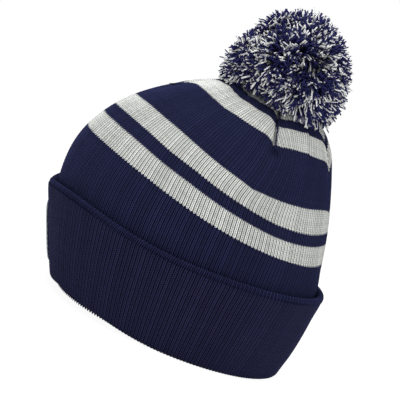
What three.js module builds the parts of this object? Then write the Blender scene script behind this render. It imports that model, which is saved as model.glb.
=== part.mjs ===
// A bobble hat: a double-layer knitted cap with a turned-up cuff, knitted-in stripes and a yarn pom.
//
// The hat stands on the bottom fold of its cuff. +Z points up through the crown, -Y is the front (where the
// badge is), +X is the wearer's left. The origin is the middle of the head opening. Millimetres.
//
// The real hat is one knitted tube pushed into itself: the outer half is the shell, the inner half is the
// lining, and the doubled lower edge is turned up as the cuff. Each layer here is a closed solid of its own.

import * as THREE from "three";

// ---- driving sizes -------------------------------------------------------------------------------------

const HALF_LENGTH = 103.5; // front to back, half, at the widest ring of the shell
const WIDTH_SHARE = 0.82; // side to side against front to back, the shape of a head
const WIDEST_Z = 70; // height of the widest ring
const CROWN_RISE = 124; // from the widest ring up to the crown's pole
const BOTTOM_TAPER = 18; // how much shorter the half length is at the bottom fold
const FORWARD_LEAN = 0.14; // how far the rings move forward for each millimetre of height
const CROWN_SWEEP = 38.7; // how far the crown is swept back over that lean
const COURSE_TILT = 8; // degrees, how far the knitted rings rise towards the front

const SHELL_THICK = 1.8; // one knitted layer of the shell
const LINING_THICK = 1.8; // the layer next to the head
const CUFF_INNER_THICK = 1.8; // the cuff's layer next to the shell
const CUFF_OUTER_THICK = 2.2; // the cuff's outside layer
const LAYER_GAP = 0.6; // air between two knitted layers
const JOIN_GAP = 0.3; // between two pieces that meet edge to edge
const LINING_DROP = 8; // how much lower the lining's pole hangs than the shell's

const CUFF_HEIGHT = 70; // from the floor to the top of the rolled hem
const HEM_HEIGHT = 4.5; // the rolled hem, where the cuff's two layers join
const FOLD_LEG = 8; // how far up the inside the bottom fold reaches
const REST_WIDTH = 4; // the flat that the fold stands on

// Edges of the colour bands, as heights of each ring's middle, from the lowest stripe to the crown.
const STRIPE_LOWER = [102.5, 116];
const STRIPE_MIDDLE = [124.5, 140];
const STRIPE_UPPER = [169, 179.5];
const CROWN_CAP_FROM = 184;

const DARTS = { front: 0, left: 108, back: 170, right: 270 }; // degrees from the front, towards the left ear
const DART_FOOT_Z = 164; // where each dart ends on the shell
const SEAM_RADIUS = 0.6;
const GATHER_THREAD = 0.8;

const POM_RADIUS = 46;
const POM_CENTRE_RISE = 15.5; // the pom's centre above the shell's pole
const POM_UNDERSIDE_RISE = 4; // its flat underside above the shell's pole, which lets it rock
const KNOT_RADIUS = 3.4; // the round knot in the gathered hole, the pivot that the pom rocks on
const ANCHOR_RADIUS = 6.5; // the stitched button under the crown
const ANCHOR_THICK = 2;
const ANCHOR_DROP = 2.7; // the button's top below the pivot
const ANCHOR_NECK = 1.5;
const STEM_RADIUS = 2;
const STEM_GAP = 0.5; // between the knot and the stem's lower end
const BINDING_RADIUS = 2.3; // half the thickness of the binding wound round the pom's middle
const RUNNING_GAP = 0.8; // round a piece that rocks or turns inside another
const GATHER_HOLE = (KNOT_RADIUS + RUNNING_GAP) / WIDTH_SHARE; // half length of the hole the crown is drawn in to

const BADGE_RADIUS = 21;
const BADGE_RIM = 3; // width of the stitched border
const BADGE_THICK = 1.2;
const BADGE_RIM_THICK = 1.9;
const LABEL_WIDTH = 24;
const LABEL_HEIGHT = 32;
const LABEL_THICK = 0.6;
const LABEL_Z = 48; // the label's middle, on the lining at the back

const ROUND_STEPS = 36; // facets round the head
const RING_STEP = WIDEST_Z / 5; // height of a row of facets
const FACET_SAG = 0.55; // how far a flat facet of the lining reaches in past its true curve

// ---- the hat's surface ---------------------------------------------------------------------------------
//
// Every horizontal section is an ellipse. A layer is given by `out`, how far it lies outside the shell's outer
// face, and by `drop`, how much further than that its pole hangs.

const POLE_Z = WIDEST_Z + CROWN_RISE;
const POLE_Y = sectionMiddle(POLE_Z);

// Middle of the section at height z, along Y.
function sectionMiddle(z) {
  const share = Math.max(0, (z - WIDEST_Z) / CROWN_RISE);
  return -FORWARD_LEAN * z + CROWN_SWEEP * share ** 2.6;
}

function domeRise(out, drop) {
  return CROWN_RISE + out - drop;
}

// 0 at the widest ring, 1 at the layer's pole, negative below the widest ring.
function domeShare(z, out, drop) {
  return z < WIDEST_Z ? (z - WIDEST_Z) / WIDEST_Z : Math.min(1, (z - WIDEST_Z) / domeRise(out, drop));
}

// A section's size against the widest ring's.
function sectionScale(share) {
  return share < 0 ? 1 : Math.sqrt(1 - share * share);
}

function sectionHalf(z, out, half, drop) {
  const share = domeShare(z, out, drop);
  const taper = BOTTOM_TAPER * (half / HALF_LENGTH) * Math.max(0, -share) ** 1.4;
  return (half + out) * sectionScale(share) - taper;
}

// A point of the hat: `turn` radians from the front towards the left ear, at height z.
function hatPoint(turn, z, out, drop = 0) {
  const along = sectionHalf(z, out, HALF_LENGTH, drop);
  const across = sectionHalf(z, out, HALF_LENGTH * WIDTH_SHARE, drop);
  return new THREE.Vector3(across * Math.sin(turn), sectionMiddle(z) - along * Math.cos(turn), z);
}

// How far a knitted ring rises at the front and sinks at the back. The rings are level under the cuff, reach
// their full tilt at the lowest stripe, and come level again at the pole.
function ringRise(z, out, drop) {
  const share = Math.max(0, domeShare(z, out, drop));
  const widest = HALF_LENGTH * Math.tan(THREE.MathUtils.degToRad(COURSE_TILT));
  const onset = Math.min(1, Math.max(0, z - WIDEST_Z) / (STRIPE_LOWER[0] - WIDEST_Z));
  return widest * sectionScale(share) * onset * (1 - share ** 20);
}

// Height at which a layer's section has the given half length.
function heightOfHalf(half, out, drop) {
  return WIDEST_Z + domeRise(out, drop) * Math.sqrt(1 - (half / (HALF_LENGTH + out)) ** 2);
}

// ---- makers --------------------------------------------------------------------------------------------

const hat = new THREE.Group();
const LATHE_BASE = 200; // radius that a layer's profile is turned at before it is laid on the hat

const yarn = (color, roughness = 0.95) => new THREE.MeshStandardMaterial({ color, roughness, metalness: 0 });
const NAVY = 0x23264a;
const GREY = 0xd2d5d1;
const THREAD = 0x1c1f3c;
const TWILL = 0x2b3f7a;
const STITCHING = 0x8c9bb8;
const TAPE = 0xe8e8e4;

function addPiece(name, geometry, material) {
  const mesh = new THREE.Mesh(geometry, material);
  mesh.name = name;
  hat.add(mesh);
  return mesh;
}

// A knitted layer: a closed profile of [out, z] points, turned round the head. `tilted` rings rise at the front.
function layer(name, profile, color, { tilted = true, drop = 0 } = {}) {
  const points = [...profile, profile[0]].map(([out, z]) => new THREE.Vector2(LATHE_BASE + out, z));
  const geometry = new THREE.LatheGeometry(points, ROUND_STEPS);
  const place = geometry.attributes.position;
  for (let i = 0; i < place.count; i++) {
    const turn = Math.atan2(place.getX(i), place.getZ(i));
    const out = Math.hypot(place.getX(i), place.getZ(i)) - LATHE_BASE;
    const z = place.getY(i);
    const height = tilted ? z + ringRise(z, out, drop) * Math.cos(turn) : z;
    const point = hatPoint(turn, height, out, drop);
    place.setXYZ(i, point.x, point.y, point.z);
  }
  geometry.computeVertexNormals();
  return addPiece(name, geometry, yarn(color));
}

// The profile of a layer between two heights. Every layer has its rings at the same heights, so that the facets
// of one layer never reach into the next.
function wall(outside, inside, from, to) {
  const heights = [from];
  for (let z = RING_STEP; z < to - RING_STEP / 4; z += RING_STEP) {
    if (z > from + RING_STEP / 4) heights.push(z);
  }
  heights.push(to);
  const up = heights.map((z) => [outside, z]);
  const down = heights.map((z) => [inside, z]).reverse();
  return [...up, ...down];
}

// A solid of revolution about a vertical line through the pole, from [radius, z] points.
function turned(name, profile, color, steps = 24) {
  const points = profile.map(([r, z]) => new THREE.Vector2(r, z));
  const geometry = new THREE.LatheGeometry(points, steps);
  geometry.rotateX(Math.PI / 2);
  geometry.translate(0, POLE_Y, 0);
  return addPiece(name, geometry, yarn(color));
}

// A round thread along points that lie on the hat.
function thread(name, points, radius, color, steps) {
  const section = new THREE.Shape().absarc(0, 0, radius, 0, 2 * Math.PI, false);
  const geometry = new THREE.ExtrudeGeometry(section, {
    steps,
    curveSegments: 3,
    extrudePath: new THREE.CatmullRomCurve3(points),
  });
  return addPiece(name, geometry, yarn(color));
}

// Lays a flat piece on the hat: its x runs round the head, its y up, its z outwards.
function layOnHat(geometry, turn, z, out) {
  const radius = hatPoint(turn, z, out).distanceTo(new THREE.Vector3(0, sectionMiddle(z), z));
  const place = geometry.attributes.position;
  for (let i = 0; i < place.count; i++) {
    const point = hatPoint(turn + place.getX(i) / radius, z + place.getY(i), out + place.getZ(i));
    place.setXYZ(i, point.x, point.y, point.z);
  }
  geometry.computeVertexNormals();
  return geometry;
}

// ---- the shell: one knitted tube in eight colour bands ----------------------------------------------------

const FOLD_TOP_Z = CUFF_OUTER_THICK + JOIN_GAP; // where the layers inside the bottom fold start
const shellBands = [
  ["shell_navy_lower", FOLD_TOP_Z, STRIPE_LOWER[0], NAVY],
  ["shell_stripe_lower", ...STRIPE_LOWER, GREY],
  ["shell_navy_narrow", STRIPE_LOWER[1], STRIPE_MIDDLE[0], NAVY],
  ["shell_stripe_middle", ...STRIPE_MIDDLE, GREY],
  ["shell_navy_wide", STRIPE_MIDDLE[1], STRIPE_UPPER[0], NAVY],
  ["shell_stripe_upper", ...STRIPE_UPPER, GREY],
  ["shell_navy_upper", STRIPE_UPPER[1], CROWN_CAP_FROM, NAVY],
];
for (const [name, from, to, color] of shellBands) {
  layer(name, wall(0, -SHELL_THICK, from, to - JOIN_GAP), color);
}

// A cap runs in equal turns of its meridian, so that the facets follow its round top.
function cap(outside, inside, from, hole, drop, steps) {
  const face = (out) => {
    const rise = domeRise(out, drop);
    const first = Math.asin((from - WIDEST_Z) / rise);
    const last = Math.asin((heightOfHalf(hole, out, drop) - WIDEST_Z) / rise);
    const angle = (i) => first + ((last - first) * i) / steps;
    return Array.from({ length: steps + 1 }, (_, i) => [out, WIDEST_Z + rise * Math.sin(angle(i))]);
  };
  return [...face(outside), ...face(inside).reverse()];
}
layer("shell_crown", cap(0, -SHELL_THICK, CROWN_CAP_FROM, GATHER_HOLE, 0, 4), GREY);

// ---- the lining -------------------------------------------------------------------------------------------

const LINING_OUT = -(SHELL_THICK + LAYER_GAP);
const LINING_IN = LINING_OUT - LINING_THICK;
const liningWall = wall(LINING_OUT, LINING_IN, FOLD_LEG + JOIN_GAP, WIDEST_Z);
const liningDome = cap(LINING_OUT, LINING_IN, WIDEST_Z, GATHER_HOLE, LINING_DROP, 9);
const wallTop = liningWall.length / 2;
const liningProfile = [
  ...liningWall.slice(0, wallTop - 1),
  ...liningDome,
  ...liningWall.slice(wallTop + 1),
];
layer("lining", liningProfile, NAVY, { tilted: false, drop: LINING_DROP });

// ---- the cuff ---------------------------------------------------------------------------------------------

const CUFF_INNER_IN = LAYER_GAP;
const CUFF_INNER_OUT = CUFF_INNER_IN + CUFF_INNER_THICK;
const CUFF_OUTER_IN = CUFF_INNER_OUT + LAYER_GAP;
const CUFF_OUTER_OUT = CUFF_OUTER_IN + CUFF_OUTER_THICK;
const HEM_Z = CUFF_HEIGHT - HEM_HEIGHT;

const cuffInnerProfile = wall(CUFF_INNER_OUT, CUFF_INNER_IN, FOLD_TOP_Z, HEM_Z - JOIN_GAP);
layer("cuff_inner", cuffInnerProfile, NAVY, { tilted: false });

// The outer layer turns under at the bottom and ends inside as the leg that the lining grows from.
const FOLD_ROUND = (CUFF_OUTER_OUT - LINING_IN - REST_WIDTH) / 2;
const FOLD_CUT = FOLD_ROUND * (1 - Math.SQRT1_2); // where the corner's arc crosses its diagonal
const foldProfile = [
  ...wall(CUFF_OUTER_OUT, CUFF_OUTER_IN, FOLD_ROUND, HEM_Z - JOIN_GAP).slice(0, -1),
  [CUFF_OUTER_IN, CUFF_OUTER_THICK],
  [LINING_OUT, CUFF_OUTER_THICK],
  [LINING_OUT, FOLD_LEG],
  [LINING_IN, FOLD_LEG],
  [LINING_IN, FOLD_ROUND],
  [LINING_IN + FOLD_CUT, FOLD_CUT],
  [LINING_IN + FOLD_ROUND, 0],
  [CUFF_OUTER_OUT - FOLD_ROUND, 0],
  [CUFF_OUTER_OUT - FOLD_CUT, FOLD_CUT],
];
layer("cuff_outer", foldProfile, NAVY, { tilted: false });

// The hem is a half-round bead over both layers.
const hemMiddle = (CUFF_OUTER_OUT + CUFF_INNER_IN) / 2;
const hemHalf = (CUFF_OUTER_OUT - CUFF_INNER_IN) / 2;
const hemProfile = Array.from({ length: 6 }, (_, i) => {
  const angle = (Math.PI * i) / 5;
  return [hemMiddle + hemHalf * Math.cos(angle), HEM_Z + HEM_HEIGHT * Math.sin(angle)];
});
layer("cuff_hem", hemProfile, NAVY, { tilted: false });

// ---- crown seams and gathering threads ----------------------------------------------------------------------

const SEAM_OUT = JOIN_GAP + SEAM_RADIUS;
const GATHER_RING = GATHER_HOLE + 2 * GATHER_THREAD;

// Points down a meridian, from just outside the gathering thread to the dart's foot.
function meridian(degrees, out, drop, foot, count) {
  const turn = THREE.MathUtils.degToRad(degrees);
  const first = Math.acos((GATHER_RING + 3 * GATHER_THREAD) / (HALF_LENGTH + out));
  const rise = domeRise(out, drop);
  const last = Math.asin((foot - WIDEST_Z) / rise);
  return Array.from({ length: count }, (_, i) => {
    const angle = first + ((last - first) * i) / (count - 1);
    return hatPoint(turn, WIDEST_Z + rise * Math.sin(angle), out, drop);
  });
}
for (const [side, degrees] of Object.entries(DARTS)) {
  thread(`dart_seam_${side}`, meridian(degrees, SEAM_OUT, 0, DART_FOOT_Z, 7), SEAM_RADIUS, THREAD, 10);
  thread(
    `lining_seam_${side}`,
    meridian(degrees, LINING_IN - FACET_SAG - SEAM_OUT, LINING_DROP, DART_FOOT_Z - LINING_DROP, 7),
    SEAM_RADIUS,
    THREAD,
    8,
  );
}

// A round thread closed into a ring about the pole draws the crown together.
const gatherThread = new THREE.TorusGeometry(GATHER_RING, GATHER_THREAD, 8, 24);
gatherThread.translate(0, POLE_Y, POLE_Z + JOIN_GAP + GATHER_THREAD);
addPiece("crown_gather_thread", gatherThread, yarn(THREAD));

// The lining's last hole is drawn shut and covered by a flat knot of thread.
const LINING_POLE_Z = POLE_Z + LINING_IN - LINING_DROP;
const closeKnot = new THREE.CylinderGeometry(GATHER_RING, GATHER_RING, 2 * GATHER_THREAD, 20);
closeKnot.rotateX(Math.PI / 2);
closeKnot.translate(0, sectionMiddle(LINING_POLE_Z), LINING_POLE_Z - FACET_SAG - JOIN_GAP - GATHER_THREAD);
addPiece("lining_closing_knot", closeKnot, yarn(THREAD));

// ---- the pom and what holds it --------------------------------------------------------------------------------

const PIVOT_Z = POLE_Z - SHELL_THICK / 2;
const POM_Z = POLE_Z + POM_CENTRE_RISE;
const QUARTER = Math.PI / 2;

// Points [radius, z] of an arc about a centre on the pom's axis. The angles are above the horizontal.
function arc(radius, z, from, to, steps) {
  return Array.from({ length: steps + 1 }, (_, i) => {
    const angle = from + ((to - from) * i) / steps;
    return [Math.max(0, radius * Math.cos(angle)), z + radius * Math.sin(angle)];
  });
}

// The anchor: a flat stitched button under the crown, a neck, and the round knot in the gathered hole.
const anchorTop = PIVOT_Z - ANCHOR_DROP;
turned(
  "pom_anchor",
  [
    [0, anchorTop - ANCHOR_THICK],
    [ANCHOR_RADIUS, anchorTop - ANCHOR_THICK],
    [ANCHOR_RADIUS, anchorTop],
    [ANCHOR_NECK, anchorTop],
    ...arc(KNOT_RADIUS, PIVOT_Z, -Math.acos(ANCHOR_NECK / KNOT_RADIUS), QUARTER, 6),
  ],
  THREAD,
);

// The stem rises from the knot to the middle of the pom and ends in the bundle that the binding grips.
const stemFoot = PIVOT_Z + KNOT_RADIUS + STEM_GAP;
const bundleTop = POM_Z + BINDING_RADIUS + JOIN_GAP;
turned(
  "pom_stem",
  [
    [0, stemFoot],
    [STEM_RADIUS, stemFoot],
    [STEM_RADIUS, bundleTop],
    [0, bundleTop],
  ],
  NAVY,
);
const bindingRing = STEM_RADIUS + JOIN_GAP + BINDING_RADIUS;
const binding = new THREE.TorusGeometry(bindingRing, BINDING_RADIUS, 10, 24);
binding.translate(0, POLE_Y, POM_Z);
addPiece("pom_binding", binding, yarn(GREY));

// The pom's ball of yarn, with a bore from below for the stem and the binding.
const boreRadius = bindingRing + BINDING_RADIUS + RUNNING_GAP;
const boreTop = bundleTop + RUNNING_GAP;
const undersideZ = POLE_Z + POM_UNDERSIDE_RISE;
const pomRim = Math.asin((undersideZ - POM_Z) / POM_RADIUS);
turned(
  "pom_yarn",
  [
    [0, boreTop],
    [boreRadius, boreTop],
    [boreRadius, undersideZ],
    ...arc(POM_RADIUS, POM_Z, pomRim, QUARTER, 11),
  ],
  NAVY,
  36,
);

// ---- badge and label --------------------------------------------------------------------------------------------

const BADGE_Z = FOLD_ROUND + (HEM_Z - FOLD_ROUND) / 2;
const badgeOut = CUFF_OUTER_OUT + JOIN_GAP;

// A disc or a ring, `thick` deep, laid on the front of the cuff.
function roundPatch(name, inner, outer, thick, color) {
  const middle = (inner + outer) / 2;
  const points = [[inner, 0], [middle, 0], [outer, 0], [outer, thick], [middle, thick], [inner, thick]];
  if (inner > 0) points.push([inner, 0]);
  const geometry = new THREE.LatheGeometry(points.map(([r, z]) => new THREE.Vector2(r, z)), 24);
  geometry.rotateX(Math.PI / 2);
  return addPiece(name, layOnHat(geometry, 0, BADGE_Z, badgeOut), yarn(color));
}
roundPatch("badge_field", 0, BADGE_RADIUS - BADGE_RIM - JOIN_GAP, BADGE_THICK, TWILL);
roundPatch("badge_border", BADGE_RADIUS - BADGE_RIM, BADGE_RADIUS, BADGE_RIM_THICK, STITCHING);

const label = new THREE.BoxGeometry(LABEL_WIDTH, LABEL_HEIGHT, LABEL_THICK, 4, 3, 1);
const labelOut = LINING_IN - FACET_SAG - JOIN_GAP - LABEL_THICK / 2;
addPiece("care_label", layOnHat(label, Math.PI, LABEL_Z, labelOut), yarn(TAPE, 0.7));

export default hat;
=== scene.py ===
# %% [markdown]
# # A striped bobble hat, made again in knitting and yarn
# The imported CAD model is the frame: it says where every layer of the hat lies and how the pom moves.
# Everything that is soft gets a new piece here, laid where its CAD solid is, stitch by stitch.

# %% The frame
import math
from contextlib import contextmanager
import bmesh
import bpy
import numpy as np
from mathutils import Matrix, Vector, noise


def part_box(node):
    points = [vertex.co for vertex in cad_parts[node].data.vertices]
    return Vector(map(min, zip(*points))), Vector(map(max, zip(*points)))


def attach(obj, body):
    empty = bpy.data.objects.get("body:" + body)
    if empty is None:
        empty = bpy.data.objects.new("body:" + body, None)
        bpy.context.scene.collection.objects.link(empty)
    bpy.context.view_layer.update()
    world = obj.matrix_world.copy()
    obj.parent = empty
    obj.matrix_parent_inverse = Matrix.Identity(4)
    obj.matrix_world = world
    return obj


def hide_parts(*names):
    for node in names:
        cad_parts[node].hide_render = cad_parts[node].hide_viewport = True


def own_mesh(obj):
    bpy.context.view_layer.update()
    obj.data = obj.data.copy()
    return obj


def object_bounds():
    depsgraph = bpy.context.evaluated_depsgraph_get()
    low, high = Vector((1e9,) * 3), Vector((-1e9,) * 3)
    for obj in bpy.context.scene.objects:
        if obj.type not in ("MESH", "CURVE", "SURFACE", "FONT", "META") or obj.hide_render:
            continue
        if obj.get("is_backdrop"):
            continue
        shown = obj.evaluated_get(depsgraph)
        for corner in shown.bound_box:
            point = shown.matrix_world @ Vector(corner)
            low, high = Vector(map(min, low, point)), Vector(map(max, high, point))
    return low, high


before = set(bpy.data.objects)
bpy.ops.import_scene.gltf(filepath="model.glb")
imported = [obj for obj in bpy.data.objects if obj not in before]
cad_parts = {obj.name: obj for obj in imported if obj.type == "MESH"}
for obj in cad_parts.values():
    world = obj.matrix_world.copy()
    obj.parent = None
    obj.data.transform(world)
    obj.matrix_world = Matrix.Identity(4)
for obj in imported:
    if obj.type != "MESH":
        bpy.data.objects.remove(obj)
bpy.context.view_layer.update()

MM = 0.001

# %% [markdown]
# ## The camera
# The hat is seen from the wearer's left ear, a little from above, and it leans back in the picture. The
# camera is rolled for that lean, so the hat itself stays upright on its cuff, as the frame has it.

# %% The camera
ELEVATION = math.radians(9.0)
LEAN = math.radians(22.8)
DISTANCE = 1.0
VIEW_WIDTH = 0.2941  # how much of the scene fits across the picture, at the hat
SENSOR_WIDTH = 36.0  # in millimetres
aim = Vector((0, -0.0115, 0.0983))
towards = Vector((math.cos(ELEVATION), 0, math.sin(ELEVATION)))
level = Vector((0, 1, 0))
upright = Vector((-math.sin(ELEVATION), 0, math.cos(ELEVATION)))
picture_right = level * math.cos(LEAN) + upright * math.sin(LEAN)
picture_up = upright * math.cos(LEAN) - level * math.sin(LEAN)
camera = bpy.data.objects.new("camera", bpy.data.cameras.new("camera"))
bpy.context.scene.collection.objects.link(camera)
turned = Matrix((picture_right, picture_up, towards)).transposed().to_4x4()
camera.matrix_world = Matrix.Translation(aim + towards * DISTANCE) @ turned
camera.data.sensor_width = SENSOR_WIDTH
camera.data.lens = SENSOR_WIDTH * DISTANCE / VIEW_WIDTH
bpy.context.scene.camera = camera
print("lens", round(camera.data.lens, 1), "mm")

# %% [markdown]
# ## Light and floor
# Knitting is read by soft light from above: it leaves each stitch a lit shoulder and a shaded groove, which
# the knit materials deepen with painted shade. A wide lamp overhead does most of the work, a weaker one fills
# the side, and the world gives an even glow. The background is white because camera rays see white there. The
# floor still shows the hat's shadow.

# %% Nodes in one line each
def feed(tree, made, inputs):
    """Fills a node's inputs: another node's output is linked, and anything else is the value itself."""
    for key, value in dict(inputs).items():
        if isinstance(value, bpy.types.NodeSocket):
            tree.links.new(value, made.inputs[key])
        else:
            made.inputs[key].default_value = value


def node(tree, kind, inputs=(), **settings):
    made = tree.nodes.new("ShaderNode" + kind)
    for key, value in settings.items():
        setattr(made, key, value)
    feed(tree, made, inputs)
    return made


def calc(tree, operation, a, b=0.0, c=0.0):
    return node(tree, "Math", {0: a, 1: b, 2: c}, operation=operation).outputs[0]


def times(tree, a, b):
    return calc(tree, "MULTIPLY", a, b)


def ramp(tree, value, low, high, start=0.0, end=1.0):
    """A soft step from `start` at `low` to `end` at `high`."""
    made = node(tree, "MapRange", {"Value": value, "From Min": low, "From Max": high, "To Min": start,
                                   "To Max": end}, interpolation_type="SMOOTHSTEP")
    return made.outputs["Result"]


def linear(colour):
    """A colour as written, 0 to 255, as the linear numbers that a shader takes."""
    parts = [c / 255 for c in colour]
    return [c / 12.92 if c <= 0.04045 else ((c + 0.055) / 1.055) ** 2.4 for c in parts] + [1.0]


# %% World, floor and lamps
GLOW = 0.42
FLOOR_SHARE = 0.15  # how much of the floor's own shade the camera sees
PAPER_WHITE = 1.11  # makes up for what that share takes from the white
scene = bpy.context.scene
scene.view_settings.view_transform = "Standard"


def seen_directly(tree):
    rays = node(tree, "LightPath").outputs
    eyes = calc(tree, "MAXIMUM", rays["Is Camera Ray"], rays["Is Glossy Ray"])
    return calc(tree, "MAXIMUM", eyes, rays["Is Transmission Ray"])


world = bpy.data.worlds.new("studio")
world.use_nodes = True
scene.world = world
tree = world.node_tree
tree.nodes["Background"].inputs["Color"].default_value = (1, 1, 1, 1)
strength = node(tree, "MapRange", {"Value": seen_directly(tree), "To Min": GLOW, "To Max": 1.0})
tree.links.new(strength.outputs["Result"], tree.nodes["Background"].inputs["Strength"])


def mesh_from(name, shape):
    """Turns a finished bmesh into a mesh."""
    mesh = bpy.data.meshes.new(name)
    shape.to_mesh(mesh)
    shape.free()
    return mesh


floor_shape = bmesh.new()
bmesh.ops.create_grid(floor_shape, x_segments=1, y_segments=1, size=20)
floor_mesh = mesh_from("floor", floor_shape)
floor = bpy.data.objects.new("floor", floor_mesh)
scene.collection.objects.link(floor)
floor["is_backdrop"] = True
paper = bpy.data.materials.new("white_paper")
paper.use_nodes = True
tree = paper.node_tree
tree.nodes.clear()
matt = node(tree, "BsdfDiffuse", {"Color": (0.9, 0.9, 0.9, 1)})
white = node(tree, "Emission", {"Color": (1, 1, 1, 1), "Strength": PAPER_WHITE})
share = times(tree, seen_directly(tree), 1 - FLOOR_SHARE)
mixed = node(tree, "MixShader", {0: share, 1: matt.outputs[0], 2: white.outputs[0]})
tree.links.new(mixed.outputs[0], node(tree, "OutputMaterial").inputs["Surface"])
floor_mesh.materials.append(paper)


def lamp(name, place, at, size, power):
    made = bpy.data.objects.new(name, bpy.data.lights.new(name, "AREA"))
    scene.collection.objects.link(made)
    made.data.size = size
    made.data.energy = power
    made.location = place
    made.rotation_euler = (Vector(at) - Vector(place)).to_track_quat("-Z", "Y").to_euler()


lamp("lamp_above", (0.25, -0.25, 1.3), (0, 0, 0.1), 0.9, 17)
lamp("lamp_side", (1.0, 0.9, 0.6), (0, 0, 0.12), 0.9, 5)

# %% [markdown]
# ## The shape of the hat
# Every level cut through the hat is an ellipse. Below the widest ring the hat tapers to its fold, above it
# closes as a dome whose top is swept back. These are the CAD model's own rules, in millimetres. A place on a
# layer is a turn, from the front towards the left ear, and a run, the length up the cloth from the widest
# ring.

# %% The hat's surface
HALF_LENGTH = 103.5
WIDTH_SHARE = 0.82
WIDEST_Z = 70.0
CROWN_RISE = 124.0
BOTTOM_TAPER = 18.0
FORWARD_LEAN = 0.14
CROWN_SWEEP = 38.7
COURSE_TILT = math.tan(math.radians(8))
STRIPE_START_Z = 102.5
POLE_Z = WIDEST_Z + CROWN_RISE
SMALL_TURN, SMALL_RUN = 1e-3, 0.2  # the steps over which a layer's slopes are taken


def section_middle(z):
    share = np.maximum(0, (z - WIDEST_Z) / CROWN_RISE)
    return -FORWARD_LEAN * z + CROWN_SWEEP * share**2.6


def hat_point(turn, z, out=0.0, drop=0.0):
    """A point of the layer that lies `out` outside the shell and hangs `drop` lower at the pole."""
    rise = CROWN_RISE + out - drop
    share = np.where(z < WIDEST_Z, (z - WIDEST_Z) / WIDEST_Z, np.minimum(1, (z - WIDEST_Z) / rise))
    scale = np.where(share < 0, 1.0, np.sqrt(np.maximum(0, 1 - share * share)))
    taper = np.maximum(0, -share) ** 1.4
    along = (HALF_LENGTH + out) * scale - BOTTOM_TAPER * taper
    across = (HALF_LENGTH * WIDTH_SHARE + out) * scale - BOTTOM_TAPER * WIDTH_SHARE * taper
    middle = section_middle(z)
    return np.stack([across * np.sin(turn), middle - along * np.cos(turn), z + 0 * turn], axis=-1)


def ring_rise(z):
    """How far a knitted ring rises at the front and sinks at the back."""
    share = np.clip((z - WIDEST_Z) / CROWN_RISE, 0, 1)
    onset = np.clip((z - WIDEST_Z) / (STRIPE_START_Z - WIDEST_Z), 0, 1)
    return HALF_LENGTH * COURSE_TILT * np.sqrt(1 - share * share) * onset * (1 - share**20)


SWEEP_ANGLES = np.linspace(0, math.pi / 2, 4000)
CLOTH_HALF = HALF_LENGTH * WIDTH_SHARE
STEPS = np.hypot(CLOTH_HALF * np.sin(SWEEP_ANGLES), CROWN_RISE * np.cos(SWEEP_ANGLES))
RUNS = np.concatenate([[0], np.cumsum((STEPS[1:] + STEPS[:-1]) / 2 * np.diff(SWEEP_ANGLES))])
HEIGHTS = WIDEST_Z + CROWN_RISE * np.sin(SWEEP_ANGLES)


def run_at(z):
    return float(z - WIDEST_Z if z < WIDEST_Z else np.interp(z, HEIGHTS, RUNS))


def height_at(run):
    return np.where(run < 0, WIDEST_Z + run, np.interp(run, RUNS, HEIGHTS))


print("cloth from the widest ring to the pole:", round(RUNS[-1], 1), "mm")

# %% [markdown]
# ## How the crown is drawn in
# A tube of knitting is closed into a dome with four darts. At each dart the cloth is folded inwards and sewn,
# so the stitches beside it run into a crease, the cloth puffs up on both sides, and the stripes dip towards
# the seam. Here each column of stitches keeps its place in the cloth, and this step says where it ends up.

# %% Darts
WALES = 204  # columns of stitches round the hat
DART_TURNS = [0.0, 108.0, 170.0, 270.0, 360.0]  # front, left, back, right, front again
DART_DIPS = [-4.0, 0.5, -7.5, 0.0, -4.0]  # how far the rings dip there, along the cloth
RING_BOW = 7.0  # how far the rings rise between two darts
LOW_RING_DRIFT = (1.4, 2.1, 1.5, -1.5)  # waves of 0 to 3 round the head, in the lower rings
HIGH_RING_DRIFT = (-3.9, -0.3, 1.7, -1.5)  # and in the upper ones
DRIFT_TURNS = (0, 30, 55, 70, 85, 100, 108, 113, 125, 150, 180, 270, 330, 360)
MIDDLE_DRIFT = (2.0, 4.0, 3.8, 3.0, 3.8, 3.0, 2.5, 2.0, 1.0, 0.0, 0.0, 0.0, 2.0, 2.0)
TOP_DRIFT = (-5.0, -5.5, -6.5, -5.5, -2.0, 3.0, 3.8, 1.5, 2.0, 0.0, 0.0, 0.0, -4.0, -5.0)
MIDDLE_RUN, MIDDLE_SPREAD = 55.0, 11.0  # where along the cloth the middle drift is felt
TOP_RUNS = (86.0, 107.0)  # where the top drift sets in
DRIFT_ENDS = run_at(188.0)
DIP_FROM, DIP_FULL, DIP_EASES = run_at(122.0), run_at(170.0), run_at(186.0)
SLANT_FOOT, SLANT_CHANGE = 6.0, 9.5  # degrees that the left seam's foot lies back, and its top less so
DART_FOOT = run_at(164.0)
TAKEN_IN = 0.34  # width that each side of a dart takes in, for each millimetre of its length
FOLD_ROUND = 2.0
FOLD_DEPTH = 3.4
PUFF = 0.9  # how high the cloth stands up beside the crease
PUFF_PLACE, PUFF_SPREAD = 8.0, 5.5  # how far from the crease, and how widely
TUCK, TUCK_SPREAD = 1.3, 4.5  # the pucker at the dart's foot
NEAR_FALL, FAR_FALL = 6.0, 22.0  # a ring dips to the seam steeply beside it and gently further off
print("dart length", round(RUNS[-1] - DART_FOOT, 1), "mm")

# %% Where the columns of stitches stand
ROUND = np.linspace(0, 2 * math.pi, 2001)
SPEED = np.hypot(WIDTH_SHARE * np.cos(ROUND), np.sin(ROUND))
EVEN = np.concatenate([[0], np.cumsum((SPEED[1:] + SPEED[:-1]) / 2)])
EVEN = EVEN / EVEN[-1] * 2 * math.pi


def even_turn(part):
    """The turn at an even share of the way round the oval, so that all stitch columns are equally wide."""
    laps = np.floor(part / (2 * math.pi)) * 2 * math.pi
    return np.interp(part - laps, EVEN, ROUND) + laps


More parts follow.
